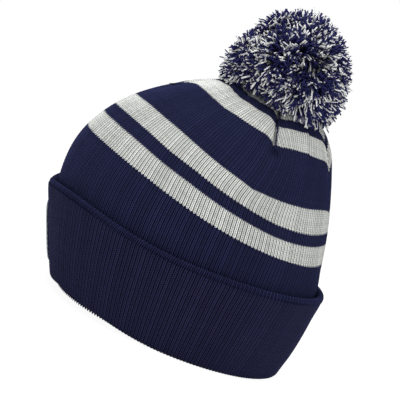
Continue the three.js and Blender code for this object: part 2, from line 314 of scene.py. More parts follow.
DART_PLACES = np.degrees(np.interp(np.radians(DART_TURNS), ROUND, EVEN))
LEAN_OF_WALES = 0.11  # the columns lean back as they rise, up to the first stripe
LEAN_END, LEAN_LENGTH = 35.0, 94.0
print("columns of stitches:", WALES, "dart places", DART_PLACES.round(1), "degrees of the cloth")


def wale_lean(run):
    return LEAN_OF_WALES * np.minimum(0, run - LEAN_END) / LEAN_LENGTH


def soft_step(value, low, high):
    t = np.clip((value - low) / (high - low), 0, 1)
    return t * t * (3 - 2 * t)


# %% How the cloth is drawn in
def dart_side(wale):
    """For each column: its dart's place, the side it lies on, the sector's width, the dart's number."""
    part = wale * 360 / WALES
    number = np.clip(np.searchsorted(DART_PLACES, part, side="right") - 1, 0, 3)
    starts, ends = DART_PLACES[number], DART_PLACES[number + 1]
    later = part - starts > (ends - starts) / 2
    nearest = np.where(later, number + 1, number)
    return DART_PLACES[nearest], np.where(later, -1.0, 1.0), ends - starts, nearest


def slant(turn, run):
    """The left seam leans: its foot is sewn a little further back than its top."""
    reach = np.clip((run - DART_FOOT) / (DRIFT_ENDS - DART_FOOT), 0, 1)
    near = np.exp(-(((turn - math.radians(DART_TURNS[1])) / 0.5) ** 2))
    return np.radians(SLANT_FOOT - SLANT_CHANGE * reach) * near * soft_step(run, run_at(125.0), DART_FOOT)


def ring_drift(turn, run):
    """How far a ring lies above its even place: hand and wear never leave stripes quite level."""
    low = sum(size * np.cos(k * turn) for k, size in enumerate(LOW_RING_DRIFT))
    high = sum(size * np.cos(k * turn) for k, size in enumerate(HIGH_RING_DRIFT))
    degrees = np.degrees(turn) % 360
    top = np.interp(degrees, DRIFT_TURNS, TOP_DRIFT) * soft_step(run, *TOP_RUNS)
    nearness = np.exp(-(((run - MIDDLE_RUN) / MIDDLE_SPREAD) ** 2))
    top = top + np.interp(degrees, DRIFT_TURNS, MIDDLE_DRIFT) * nearness
    fade = 1 - soft_step(run, DRIFT_ENDS, RUNS[-1])
    return (low * np.clip(run / 32, 0, 1) + high * np.clip((run - 20) / 60, 0, 1) + top) * fade


def dip_share(run):
    """How much of the darts' dip has come in at this length up the cloth."""
    return soft_step(run, DIP_FROM, DIP_FULL)


def gather(wale, run):
    """Where column `wale` at length `run` lies: turn in radians, run, and how far it is pushed out."""
    home, side, sector, nearest = dart_side(wale)
    ring = np.sqrt(1 - np.clip((height_at(run) - WIDEST_Z) / CROWN_RISE, 0, 0.995) ** 2)
    mean_half = HALF_LENGTH * (1 + WIDTH_SHARE) / 2 * ring
    sector_length = np.radians(sector) * mean_half
    up = np.maximum(0, run - DART_FOOT)
    taken = TAKEN_IN * up
    columns = np.abs(wale * 360 / WALES - home) / sector * 2
    flat = columns * (sector_length / 2 + taken) - taken
    lip = FOLD_ROUND * soft_step(up, 0, 9)
    bend = np.sqrt(flat * flat + lip * lip)
    beside = (flat + bend) / 2
    depth = np.minimum((bend - flat) / 2, FOLD_DEPTH)
    turn = even_turn(np.radians(home) + side * beside / mean_half) + wale_lean(run)
    ready = dip_share(run) * (1 - 0.5 * soft_step(run, DIP_EASES, RUNS[-1]))
    dip = np.array(DART_DIPS)[nearest]
    beyond = np.maximum(flat, 0)
    falling = 0.5 * np.exp(-beyond / NEAR_FALL) + 0.5 * np.exp(-beyond / FAR_FALL)
    bow = ready * (RING_BOW - (RING_BOW - dip) * falling) + ring_drift(turn, run)
    growing = soft_step(run, DART_FOOT - 6, DART_FOOT + 14)
    push = -depth + PUFF * growing * np.exp(-(((flat - PUFF_PLACE) / PUFF_SPREAD) ** 2))
    foot = np.hypot(flat, run - DART_FOOT)
    push = push - TUCK * np.exp(-((foot / TUCK_SPREAD) ** 2))
    return turn + slant(turn, run), run + bow, push


# %% The shell as a layer
def shell_place(turn, run):
    height = height_at(run)
    return hat_point(turn, height + ring_rise(height) * np.cos(turn))


# Slow waves of cloth that has been worn and folded: size, how many go round, climb, and start.
WAVES = ((0.55, 3, 0.045, 0.0), (0.4, 7, -0.03, 1.3), (0.3, 11, 0.09, 0.4))


def soft_waves(turn, run):
    return sum(size * np.sin(laps * turn + climb * run + start) for size, laps, climb, start in WAVES)


def finite_normal(place, turn, run, step=SMALL_RUN):
    """The outward direction of a smooth layer, from its slopes."""
    round_it = place(turn + SMALL_TURN, run) - place(turn - SMALL_TURN, run)
    up_it = place(turn, run + step) - place(turn, run - step)
    normal = np.cross(round_it, up_it)
    return normal / np.maximum(np.linalg.norm(normal, axis=-1, keepdims=True), 1e-9)


crease = gather(np.array([0.0]), np.array([RUNS[-1] - FAR_FALL]))[2][0]
print("the cloth at the front crease lies", round(-crease, 1), "mm in")

# %% [markdown]
# ## Yarn and stitch materials
# A plain knitted stitch is a V: two slanting legs, with a shaded gap between its column and the next and a
# small shaded eye where the legs part. One node group draws that from the piece's UV map, in which one unit
# is one stitch each way, and gives the gap and the eye painted shade in the colour. Another adds the fibres
# and the uneven dye of spun yarn. Each cloth then has its own Principled shader, with the sheen of fine
# fibres standing off the yarn.

# %% Node groups
def new_group(name, inputs, outputs):
    group = bpy.data.node_groups.new(name, "ShaderNodeTree")
    for title, kind, value in inputs:
        socket = group.interface.new_socket(title, in_out="INPUT", socket_type="NodeSocket" + kind)
        if value is not None:
            socket.default_value = value
    for title, kind in outputs:
        group.interface.new_socket(title, in_out="OUTPUT", socket_type="NodeSocket" + kind)
    return group, group.nodes.new("NodeGroupInput").outputs, group.nodes.new("NodeGroupOutput").inputs


stitch_group, given, made = new_group(
    "knit_stitches",
    [("Stitches", "Vector", None), ("Openness", "Float", 1.0)],
    [("Height", "Float"), ("Gap Shade", "Float"), ("Tone", "Float")],
)
place = node(stitch_group, "SeparateXYZ", {0: given["Stitches"]}).outputs
within = calc(stitch_group, "FRACT", place["X"])
offset = calc(stitch_group, "SUBTRACT", within, 0.5)
across = times(stitch_group, calc(stitch_group, "ABSOLUTE", offset), 2.0)  # 0 mid-column, 1 in the groove
wave = calc(stitch_group, "COSINE", times(stitch_group, place["Y"], 2 * math.pi))
leg = calc(stitch_group, "SINE", times(stitch_group, place["X"], 2 * math.pi))
rounded = calc(stitch_group, "SQRT", calc(stitch_group, "ABSOLUTE", leg))
swell = calc(stitch_group, "MULTIPLY_ADD", wave, 0.4, 0.6)
stitch_group.links.new(times(stitch_group, rounded, swell), made["Height"])

# Painted shade: the groove between columns, the eye where the legs part and the line where one row gives way
# to the next are darkened in the colour, as shade falls there. Openness sets how deep that painted shade
# goes.
groove = ramp(stitch_group, across, 0.57, 0.87)
apart = ramp(stitch_group, wave, 0.5, -0.6)  # 1 where one row's legs give way to the next row's
eye = times(stitch_group, ramp(stitch_group, across, 0.44, 0.14),
            calc(stitch_group, "MULTIPLY_ADD", apart, 0.75, 0.25))
painted_shade_mask = calc(stitch_group, "MAXIMUM", groove, eye)
painted_shade_mask = calc(stitch_group, "MAXIMUM", painted_shade_mask, times(stitch_group, apart, 0.25))
stitch_group.links.new(times(stitch_group, painted_shade_mask, given["Openness"]), made["Gap Shade"])


def own_shade(axis):
    """A chance value for each whole column or row of stitches."""
    number = calc(stitch_group, "FLOOR", place[axis])
    return node(stitch_group, "TexWhiteNoise", {"W": number}, noise_dimensions="1D").outputs["Value"]


# Painted shading: one leg of each stitch is a little darker than the other, as the two legs catch the light
# differently. The Tone output carries this together with the random tone of rows and columns.
painted_leg_shading = ramp(stitch_group, within, 0.42, 0.58, 0.95, 1.05)
tone = calc(stitch_group, "MULTIPLY_ADD", own_shade("Y"), 0.12, 0.81)
tone = calc(stitch_group, "MULTIPLY_ADD", own_shade("X"), 0.26, tone)
stitch_group.links.new(times(stitch_group, tone, painted_leg_shading), made["Tone"])

fibre_group, given, made = new_group(
    "yarn_fibres", [("Grain", "Float", 1500.0)], [("Tone", "Float"), ("Fluff", "Float")])
where = node(fibre_group, "TexCoord").outputs["Object"]
fine = node(fibre_group, "TexNoise", {"Vector": where, "Scale": given["Grain"], "Detail": 3.0}).outputs[0]
slow = node(fibre_group, "TexNoise", {"Vector": where, "Scale": 38.0, "Detail": 2.0}).outputs[0]
both = calc(fibre_group, "MULTIPLY_ADD", fine, 0.32, calc(fibre_group, "MULTIPLY_ADD", slow, 0.24, 0.72))
fibre_group.links.new(both, made["Tone"])
fibre_group.links.new(fine, made["Fluff"])
print("node groups", [g.name for g in bpy.data.node_groups])

# %% Cloth and yarn materials
FIBRE_GLOSS = 0.06
SHEEN_ROUGHNESS = 0.45
PLY_TWIST = 9.0  # turns of the plies along a strand


def group_node(tree, group, inputs=()):
    return node(tree, "Group", inputs, node_tree=group).outputs


def tinted(tree, colour, painted_shade, painted_shade_mask, tones):
    """The yarn's colour, with painted shade in the gaps, and made a little uneven."""
    colours = {"Factor": painted_shade_mask, 6: linear(colour), 7: linear(painted_shade)}
    mixed = node(tree, "Mix", colours, data_type="RGBA").outputs[2]
    for tone in tones:
        shade = node(tree, "CombineColor", {0: tone, 1: tone, 2: tone}).outputs[0]
        both = {"Factor": 1.0, 6: mixed, 7: shade}
        mixed = node(tree, "Mix", both, data_type="RGBA", blend_type="MULTIPLY").outputs[2]
    return mixed


def fabric(name, sheen, tint, roughness=0.92):
    """A material with the dull face and pale sheen of fibres."""
    material = bpy.data.materials.new(name)
    material.use_nodes = True
    tree = material.node_tree
    shader = tree.nodes["Principled BSDF"]
    feed(tree, shader, {"Roughness": roughness, "Specular IOR Level": FIBRE_GLOSS, "Sheen Weight": sheen,
                        "Sheen Roughness": SHEEN_ROUGHNESS, "Sheen Tint": linear(tint)})
    return material, tree, shader


def finish_cloth(tree, shader, colour, height, strength, depth):
    """Joins up a fabric's colour and its relief, `depth` metres deep."""
    tree.links.new(colour, shader.inputs["Base Color"])
    bump = node(tree, "Bump", {"Height": height, "Strength": strength, "Distance": depth})
    tree.links.new(bump.outputs["Normal"], shader.inputs["Normal"])


def knit_material(name, colour, painted_shade, openness, sheen, tint, depth=0.0005):
    material, tree, shader = fabric(name, sheen, tint)
    stitches = node(tree, "UVMap", uv_map="UVMap").outputs["UV"]
    knit = group_node(tree, stitch_group, {"Stitches": stitches, "Openness": openness})
    fibres = group_node(tree, fibre_group)
    shown = tinted(tree, colour, painted_shade, knit["Gap Shade"], [knit["Tone"], fibres["Tone"]])
    height = calc(tree, "MULTIPLY_ADD", fibres["Fluff"], 0.5, knit["Height"])
    finish_cloth(tree, shader, shown, height, 0.8, depth)
    return material


def yarn_material(name, colour, painted_shade, sheen, tint, deep=1.0):
    """Plied yarn: the plies show as slanting grooves on the strand's own UV map, with painted shade in the
    grooves.
    `deep` is how much of the colour is kept at the strand's hidden end, a painted shade for the inside of the
    pom."""
    material, tree, shader = fabric(name, sheen, tint)
    along = node(tree, "SeparateXYZ", {0: node(tree, "UVMap", uv_map="UVMap").outputs["UV"]}).outputs
    turn = calc(tree, "MULTIPLY_ADD", along["X"], PLY_TWIST, times(tree, along["Y"], 2.0))
    ply = calc(tree, "MULTIPLY_ADD", calc(tree, "SINE", times(tree, turn, 2 * math.pi)), 0.5, 0.5)
    fibres = group_node(tree, fibre_group, {"Grain": 2300.0})
    # Painted shade in the grooves between the plies.
    painted_shade_mask = ramp(tree, ply, 0.35, 0.0, 0.0, 0.6)
    # Painted shade deeper in the pom: strands darken towards their hidden ends, where the ball's inside lies
    # in shade.
    outward = node(tree, "Attribute", attribute_name="outward").outputs["Fac"]
    shown = tinted(tree, colour, painted_shade, painted_shade_mask, [fibres["Tone"], ramp(tree, outward, 0.79, 1.0, deep, 1.0)])
    height = calc(tree, "MULTIPLY_ADD", fibres["Fluff"], 0.5, ply)
    finish_cloth(tree, shader, shown, height, 0.7, 0.0003)
    return material


# %% This hat's yarns
# The second colour of each yarn is the painted shade that its gaps are darkened to.
NAVY, NAVY_PAINTED_SHADE, NAVY_SHEEN = (40, 43, 78), (1, 1, 2), (120, 135, 210)
GREY, GREY_PAINTED_SHADE, GREY_SHEEN = (240, 242, 238), (26, 25, 22), (235, 235, 235)
navy_knit = knit_material("navy_knit", NAVY, NAVY_PAINTED_SHADE, 1.0, 0.08, NAVY_SHEEN)
grey_knit = knit_material("grey_knit", GREY, GREY_PAINTED_SHADE, 0.95, 0.08, GREY_SHEEN)
cuff_knit = knit_material("cuff_knit", (40, 41, 73), NAVY_PAINTED_SHADE, 1.0, 0.08, NAVY_SHEEN, 0.0004)
hem_knit = knit_material("hem_knit", (38, 41, 78), NAVY_PAINTED_SHADE, 1.0, 0.08, NAVY_SHEEN)
lining_knit = knit_material("lining_knit", (34, 35, 70), NAVY_PAINTED_SHADE, 0.9, 0.12, NAVY_SHEEN, 0.0006)
seam_thread = yarn_material("seam_thread", (26, 28, 54), (8, 8, 16), 0.2, NAVY_SHEEN)
pom_navy = yarn_material("pom_navy", (42, 42, 90), (16, 16, 40), 0.25, NAVY_SHEEN, deep=0.25)
pom_grey = yarn_material("pom_grey", (242, 243, 242), (180, 180, 176), 0.12, GREY_SHEEN, deep=0.3)
print("materials", len(bpy.data.materials))

# %% [markdown]
# ## Knitting a tube
# Each band is knitted flat as a bmesh grid with four grid columns to a stitch column and two rows to a row
# of stitches, then wrapped round the hat and joined into a tube. The grid's rows follow the slanted legs of
# the stitches, which gives the saw-tooth line where one colour meets the next, and every stitch stands up
# in the mesh as well as in the material.

# %% The knitting helper
PER_WALE = 4
COURSE = 1.55  # height of one row of stitches
LEG_RISE = 1.5  # how far a stitch's legs climb from the column's middle to its groove
RIB_DEPTH = 0.5
LEG_BUMP = 0.14
WELD = 2e-6  # points nearer than this become one, in metres


def new_object(name, mesh, *materials):
    made = bpy.data.objects.new(name, mesh)
    scene.collection.objects.link(made)
    for material in materials:
        mesh.materials.append(material)
    mesh.polygons.foreach_set("use_smooth", [True] * len(mesh.polygons))
    return made


# %% Grids of cloth
def points_of(mesh):
    points = np.empty(len(mesh.vertices) * 3, np.float32)
    mesh.vertices.foreach_get("co", points)
    return points.reshape(-1, 3)


def move_points(mesh, points):
    """Puts a mesh's vertices at places given in millimetres."""
    mesh.vertices.foreach_set("co", (points * MM).astype(np.float32).ravel())
    mesh.update()


def flat_grid(columns, rows):
    """A flat grid mesh, with the column and row of each of its vertices."""
    shape = bmesh.new()
    shape.loops.layers.uv.new("UVMap")
    bmesh.ops.create_grid(shape, x_segments=columns, y_segments=rows, size=0.5)
    mesh = mesh_from("grid", shape)
    flat = points_of(mesh)
    column = np.rint((flat[:, 0] + 0.5) * columns).astype(int)
    row = np.rint((flat[:, 1] + 0.5) * rows).astype(int)
    return mesh, column, row


def place_grid(mesh, points, unwrapped):
    """Moves the grid's vertices and writes its UV map."""
    move_points(mesh, points)
    corners = np.empty(len(mesh.loops), np.int32)
    mesh.loops.foreach_get("vertex_index", corners)
    mesh.uv_layers["UVMap"].uv.foreach_set("vector", unwrapped[corners].astype(np.float32).ravel())


@contextmanager
def reshaping(mesh):
    """Opens a mesh for bmesh operators, and writes the result back."""
    shape = bmesh.new()
    shape.from_mesh(mesh)
    yield shape
    shape.to_mesh(mesh)
    shape.free()


def turn_over(mesh):
    """Makes a sheet face the other way."""
    with reshaping(mesh) as shape:
        bmesh.ops.reverse_faces(shape, faces=shape.faces)


def wrap_grid(mesh, column, row, points, unwrapped, inward=False):
    """Places a grid that goes once round the hat and sews its last column to its first."""
    first, last = np.flatnonzero(column == 0), np.flatnonzero(column == column.max())
    points[last[np.argsort(row[last])]] = points[first[np.argsort(row[first])]]
    place_grid(mesh, points, unwrapped)
    with reshaping(mesh) as shape:
        shape.verts.ensure_lookup_table()
        seam = [shape.verts[i] for i in np.concatenate([first, last])]
        bmesh.ops.remove_doubles(shape, verts=seam, dist=WELD)
    if inward:
        turn_over(mesh)


# %% A knitted tube
def knit_tube(name, material, runs, courses, place, shape_it, per_wale=PER_WALE, rib=RIB_DEPTH,
              leg=LEG_BUMP, leg_rise=LEG_RISE, inward=False):
    """A tube of knitting. `runs` and `courses` give each grid row its length up the cloth and its row of
    stitches. `shape_it` says where the cloth is drawn to, and `place` lays it on the hat."""
    mesh, column, row = flat_grid(WALES * per_wale, len(runs) - 1)
    wale = column / per_wale
    side = np.abs((wale % 1) - 0.5) * 2
    wave = np.cos(2 * math.pi * np.asarray(courses)[row])
    run = np.asarray(runs)[row] + leg_rise * side
    turn, drawn, push = shape_it(np.where(column == WALES * per_wale, WALES - 1e-9, wale), run)
    relief = -rib * side**2 - 0.5 * leg * (1 - side) ** 2 + leg * wave * (1 - side)
    direction = finite_normal(place, turn, drawn)
    points = place(turn, drawn) + direction * (push + relief * (-1 if inward else 1))[:, None]
    wrap_grid(mesh, column, row, points, np.stack([wale, np.asarray(courses)[row]], axis=1), inward)
    return new_object(name, mesh, material)


def band_rows(low, high, halves=2):
    """Grid rows between two runs, as runs and as stitch rows."""
    count = max(2, round((high - low) / COURSE))
    steps = np.arange(count * halves + 1) / halves
    return low + (high - low) * steps / count, steps


def settle(piece, body, stands_for=()):
    """Hides the CAD parts that a finished piece stands for, hangs the piece on the body it rides on, and
    prints its triangles.
    """
    if stands_for:
        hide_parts(*stands_for)
    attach(piece, body)
    piece.data.calc_loop_triangles()
    print(piece.name, len(piece.data.loop_triangles), "triangles")


# %% [markdown]
# ## The shell
# The outside of the hat is one knitted tube in eight colour bands. It is cut into bands because each has its
# own yarn. All of them use the same rule for where the cloth goes, so their saw-tooth edges fit.

# %% The shell's bands
SHELL_FOOT = 2.5
COVERED_TO = 58.0  # below this the cuff covers the shell, so its rows are coarse
COVERED_ROWS = 8
KNITS = {"navy_knit": navy_knit, "grey_knit": grey_knit}
BANDS = [
    ("shell_navy_lower", COVERED_TO, STRIPE_START_Z, "navy_knit"),
    ("shell_stripe_lower", STRIPE_START_Z, 116.0, "grey_knit"),
    ("shell_navy_narrow", 116.0, 124.5, "navy_knit"),
    ("shell_stripe_middle", 124.5, 140.0, "grey_knit"),
    ("shell_navy_wide", 140.0, 169.0, "navy_knit"),
    ("shell_stripe_upper", 169.0, 179.5, "grey_knit"),
    ("shell_navy_upper", 179.5, 184.0, "navy_knit"),
    ("shell_crown", 184.0, 193.2, "grey_knit"),
]


def shell_gather(wale, run):
    turn, drawn, push = gather(wale, run)
    return turn, drawn, push + soft_waves(turn, drawn) * soft_step(run, 2.0, 30.0)


def as_cloth(piece, stands_for):
    settle(piece, "hat", [stands_for])


for name, low, high, knit in BANDS:
    runs, courses = band_rows(run_at(low), run_at(high))
    if low == COVERED_TO:
        covered = np.linspace(run_at(SHELL_FOOT), run_at(low), COVERED_ROWS + 1)[:-1]
        courses = np.concatenate([(covered - run_at(low)) / COURSE, courses])
        runs = np.concatenate([covered, runs])
        low = SHELL_FOOT
    piece = knit_tube(name + "_cloth", KNITS[knit], runs, courses, shell_place, shell_gather)
    as_cloth(piece, name)

# %% [markdown]
# ## The cuff
# The doubled lower edge is turned up outside the shell. Its outer layer comes down from the hem, turns under
# at the fold the hat stands on, and goes on inside as the lining. Turned-up knitting shows its stitches
# upside down, so here the legs run the other way.

# %% The cuff's outer layer
CUFF_OUT = 5.2  # how far outside the shell its face lies
LINING_IN = -4.2  # and how far inside, the lining
LINING_FOOT = 9.0
FOLD_CURVE = 2.7
HEM_Z = 65.5
CUFF_TOP = HEM_Z + 0.6


def fold_profile():
    """The line that the cuff's face follows, from the hem down, round the fold and up inside."""
    angle = np.linspace(0, math.pi / 2, 7)
    side, turned = FOLD_CURVE * (1 - np.cos(angle)), FOLD_CURVE * (1 - np.sin(angle))
    outer = np.column_stack([CUFF_OUT - side, turned])
    inner = np.column_stack([LINING_IN + turned, side])
    return np.vstack([(CUFF_OUT, CUFF_TOP), outer, inner, (LINING_IN, LINING_FOOT)])


FOLD_LINE = fold_profile()
FOLD_RUN = np.concatenate([[0], np.cumsum(np.linalg.norm(np.diff(FOLD_LINE, axis=0), axis=1))])
FOLD_TOTAL = float(FOLD_RUN[-1])
CORNER_LIFT, CORNER_TURN, CORNER_SPREAD = 6.0, 0.69, 0.54
FRONT_LIFT = 2.0
FLARE = 1.1  # how far the hem stands off
FACE_FROM = (18.0, 34.0)  # the run over which the fold becomes the cuff's uneven face


def cuff_lift(turn):
    """The turned-up edge sits a little higher at the front corners than at the sides."""
    from_front = np.abs(np.angle(np.exp(1j * turn)))
    corner = np.exp(-(((from_front - CORNER_TURN) / CORNER_SPREAD) ** 2))
    return CORNER_LIFT * corner + FRONT_LIFT * np.maximum(0, np.cos(turn))


def cuff_place(turn, run):
    """`run` is 0 at the inside end of the fold and grows up the cuff's face to the hem."""
    back = FOLD_TOTAL - run
    out = np.interp(back, FOLD_RUN, FOLD_LINE[:, 0])
    z = np.interp(back, FOLD_RUN, FOLD_LINE[:, 1])
    flare = FLARE * soft_step(z, 48.0, 66.0) * np.where(out > 0, 1.0, 0.0)
    lifted = z + cuff_lift(turn) * (1 - soft_step(back, FOLD_TOTAL - 9, FOLD_TOTAL))
    return hat_point(turn, lifted, out + flare)


def wale_turn(wale):
    return even_turn(wale * 2 * math.pi / WALES)


def cuff_settle(wale, run):
    turn = wale_turn(wale) + LEAN_OF_WALES * (run - FOLD_TOTAL) / LEAN_LENGTH
    face = soft_step(run, *FACE_FROM)
    return turn, run, 0.5 * soft_waves(turn + 0.7, run * 1.3) * face


runs, courses = band_rows(0.0, FOLD_TOTAL - LEG_RISE * 0.4)
piece = knit_tube("cuff_outer_cloth", cuff_knit, runs, courses, cuff_place, cuff_settle, rib=0.36,
                  leg_rise=-0.9, leg=0.12)
as_cloth(piece, "cuff_outer")

# %% The cuff's inner layer
CUFF_INNER_OUT = 2.2


def cuff_inner_place(turn, run):
    return hat_point(turn, WIDEST_Z + run + cuff_lift(turn), CUFF_INNER_OUT)


def straight(wale, run):
    return wale_turn(wale), run, 0 * run


runs = np.linspace(SHELL_FOOT, HEM_Z - 0.5, 24) - WIDEST_Z
piece = knit_tube("cuff_inner_cloth", cuff_knit, runs, runs / COURSE, cuff_inner_place, straight, per_wale=2,
                  rib=0.25, leg=0.0, leg_rise=0.0)
as_cloth(piece, "cuff_inner")

# %% [markdown]
# ### The hem
# The last row is bound off: one loop of yarn for each column of stitches lies over the edge, side by side,
# like a flattened rope. A strip of grid is rolled over the edge, and the loops are raised in it on a slant.

# %% The hem
HEM_ROWS = 12
HEM_MIDDLE = 3.35  # how far outside the shell the bead's middle lies
HEM_HALF, HEM_RISE = 2.15, 3.1  # half its width, and its height
HEM_FIRST, HEM_SWEEP = -0.35, math.pi + 0.75  # where round the bead the strip starts, and how far it goes
HEM_LOOP = 1.0


def hem_place(turn, run):
    """`run` is the angle over the bead, from the inside face to the outside."""
    angle = math.pi - run
    back_lift = 0.8 * soft_step(-np.cos(turn), 0.2, 1.0)
    out = HEM_MIDDLE + back_lift + HEM_HALF * np.cos(angle)
    z = HEM_Z + 0.5 + HEM_RISE * np.maximum(np.sin(angle), -0.4)
    return hat_point(turn, z + cuff_lift(turn), out)


mesh, column, row = flat_grid(WALES * PER_WALE, HEM_ROWS)
angle = HEM_FIRST + HEM_SWEEP * row / HEM_ROWS
phase = column / PER_WALE + row / HEM_ROWS  # a loop leans over one column between its foot and its crest
turn = wale_turn(column / PER_WALE)
height = HEM_LOOP * (np.abs(np.sin(math.pi * phase)) - 0.5)
points = hem_place(turn, angle) - finite_normal(hem_place, turn, angle, 0.02) * height[:, None]
wrap_grid(mesh, column, row, points, np.stack([phase + 0.5, 0.35 + 0 * phase], axis=1), inward=True)
hem = new_object("cuff_hem_loops", mesh, hem_knit)
as_cloth(hem, "cuff_hem")

# %% [markdown]
# ## The lining
# Inside, the tube goes on from the fold up to a drawn-in top of its own. It is seen only from below, so it
# has half the rows of the shell. Its faces point to the inside of the hat, the side that shows.

# %% The lining
LINING_DROP = 8.0
LINING_POLE = POLE_Z + LINING_IN - LINING_DROP
LINING_RISE = LINING_POLE - WIDEST_Z


def lining_place(turn, run):
    rise = height_at(np.clip(run, 0, 0.9995 * RUNS[-1])) - WIDEST_Z
    z = WIDEST_Z + np.where(run < 0, run, LINING_RISE * rise / CROWN_RISE)
    return hat_point(turn, z, LINING_IN, LINING_DROP)


def lining_gather(wale, run):
    turn, _, push = gather(wale, run)
    return turn, run, np.maximum(push * 0.3, -0.8)


runs, courses = band_rows(LINING_FOOT - WIDEST_Z, run_at(193.6), halves=0.5)
piece = knit_tube("lining_cloth", lining_knit, runs, courses, lining_place, lining_gather, per_wale=2,
                  rib=0.45, leg=0.0, leg_rise=0.0, inward=True)
as_cloth(piece, "lining")

# %% [markdown]
# ## Threads
# A yarn or thread is drawn as a curve with a round section and then made a mesh. The curve gives it a UV map
# that runs along the strand, which the twisted plies of the yarn material follow. The curve's end caps come
# loose, so they are welded on, which closes every strand.

# %% The thread helper
def strands_mesh(name, paths, radii):
    """A mesh of many strands. Each path is an array of points in millimetres, each with its own radius."""
    curve = bpy.data.curves.new(name, "CURVE")
    curve.dimensions = "3D"
    curve.bevel_depth = MM
    curve.bevel_resolution = 1
    curve.use_fill_caps = True
    for path, radius in zip(paths, radii):
        spline = curve.splines.new("POLY")
        spline.points.add(len(path) - 1)
        placed = np.column_stack([np.asarray(path) * MM, np.ones(len(path))])
        spline.points.foreach_set("co", placed.astype(np.float32).ravel())
        spline.points.foreach_set("radius", np.broadcast_to(radius, len(path)).astype(np.float32))
    holder = bpy.data.objects.new(name + "_curve", curve)
    scene.collection.objects.link(holder)
    mesh = bpy.data.meshes.new_from_object(holder.evaluated_get(bpy.context.evaluated_depsgraph_get()))
    bpy.data.objects.remove(holder)
    mesh.name = name
    mesh.uv_layers[0].name = "UVMap"
    with reshaping(mesh) as shape:
        bmesh.ops.remove_doubles(shape, verts=shape.verts, dist=WELD / 2)
    return mesh


def strands(name, material, body, paths, radii, stands_for=()):
    piece = new_object(name, strands_mesh(name, paths, radii), material)
    settle(piece, body, stands_for)
    return piece


def sewing(name, paths, radii, node_name):
    """Thread that stays with the cloth."""
    strands(name, seam_thread, "hat", paths, radii, [node_name])


# %% [markdown]
# ### Dart seams
# Each dart is closed with small overcast stitches that cross the crease, and the thread's ends are left
# standing at its foot. On the lining the same seam shows as a row of flat stitches.

# %% Dart seams
draw = np.random.default_rng(7)
SIDES = {"front": 0, "left": 1, "back": 2, "right": 3}
SEAM_TOP = run_at(191.0)
SUNK_THREAD, STITCH_THREAD, LINING_THREAD = 0.45, 0.22, 0.4  # radii
LOOSE_ENDS = {"left": (-3.2, -1.4, 0.8, 2.6)}  # how far sideways a seam's loose ends reach
FEW_ENDS = (-1.2, 0.8)


def on_layer(place, turn, run, lift):
    """One point that stands `lift` off a layer."""
    at = (np.array([turn]), np.array([run]))
    return (place(*at) + finite_normal(place, *at) * lift)[0]


def seam_line(side, stations):
    """A path beside a dart of the shell. A station is a run, millimetres from the crease, and a lift."""
    path = []
    for run, beside, lift in stations:
        ring = float(np.sqrt(1 - ((height_at(run) - WIDEST_Z) / CROWN_RISE) ** 2))
        half = HALF_LENGTH * (1 + WIDTH_SHARE) / 2 * max(ring, 0.1)
        turn = math.radians(DART_TURNS[SIDES[side]]) + beside / half
        dip = DART_DIPS[SIDES[side]] * float(dip_share(run))
        path.append(on_layer(shell_place, turn + slant(turn, run), run + dip, lift))
    return path


for side in SIDES:
    sunk = [(run, 0.25 * math.sin(run), -1.25) for run in np.arange(DART_FOOT - 2, SEAM_TOP, 1.2)]
    paths = [seam_line(side, sunk)]
    for run in np.arange(DART_FOOT - 1, SEAM_TOP, 1.7):
        tilt = draw.uniform(-0.4, 0.8)
        paths.append(seam_line(side, [(run - tilt, -1.1, -1.7), (run - tilt / 2, -0.5, -1.0),
                                      (run + tilt / 2, 0.5, -1.0), (run + tilt, 1.1, -1.7)]))
    foot = DART_FOOT - 1
    for reach in LOOSE_ENDS.get(side, FEW_ENDS):
        paths.append(seam_line(side, [(foot + 2.5, reach * 0.15, -0.6), (foot, reach * 0.5, -0.4),
                                      (foot - 2.4, reach, 0.0)]))
    radii = [SUNK_THREAD] + [STITCH_THREAD] * len(paths)
    sewing(f"dart_seam_{side}_stitches", paths, radii, f"dart_seam_{side}")

# %% The lining's seams
FLAT_STITCH = ((-1.3, -0.012, -0.1), (-0.5, -0.004, -0.75), (0.5, 0.004, -0.75), (1.3, 0.012, -0.1))
for side, number in SIDES.items():
    turn = math.radians(DART_TURNS[number])
    paths = [[on_layer(lining_place, turn + beside, run + along, lift) for along, beside, lift in FLAT_STITCH]
             for run in np.arange(run_at(158.0), run_at(190.5), 3.2)]
    sewing(f"lining_seam_{side}_stitches", paths, [LINING_THREAD] * len(paths), f"lining_seam_{side}")

# %% [markdown]
# ### Gathers, knot and the pom's fixing
# The top of the shell is drawn up on a thread, and the lining's top is closed under a coil of it. The pom is
# tied to a small button under the crown by a stem of its own yarn, bound round the middle of its strands.

# %% Coiled threads
POLE_Y = float(section_middle(POLE_Z))


def wound(angles, reach, height, middle_y=POLE_Y):
    """A path round an upright axis."""
    return np.column_stack([reach * np.cos(angles), middle_y + reach * np.sin(angles), height])


def ring_coil(centre_z, ring, coil, turns, steps):
    """A thread wound round a ring."""
    angles = np.linspace(0, 2 * math.pi, turns * steps + 1)
    return wound(angles, ring + coil * np.cos(angles * turns), centre_z + coil * np.sin(angles * turns))


def spiral(centre_z, first, last, middle_y=POLE_Y, lift=0.0):
    """A flat coil of six turns, which may be domed by `lift`."""
    angles = np.linspace(0, 2 * math.pi * 6, 6 * 18)
    reach = np.linspace(first, last, len(angles))
    dome = np.sqrt(np.clip(1 - (reach / max(first, last)) ** 2, 0, 1))
    return wound(angles, reach, centre_z + lift * dome, middle_y)


sewing("crown_gather_winding", [ring_coil(POLE_Z + 1.1, 6.7, 0.45, 26, 6)], [0.34], "crown_gather_thread")
knot = spiral(LINING_POLE - 1.6, 6.2, 0.4, float(section_middle(LINING_POLE)), -0.6)
sewing("lining_knot_coil", [knot], [0.55], "lining_closing_knot")

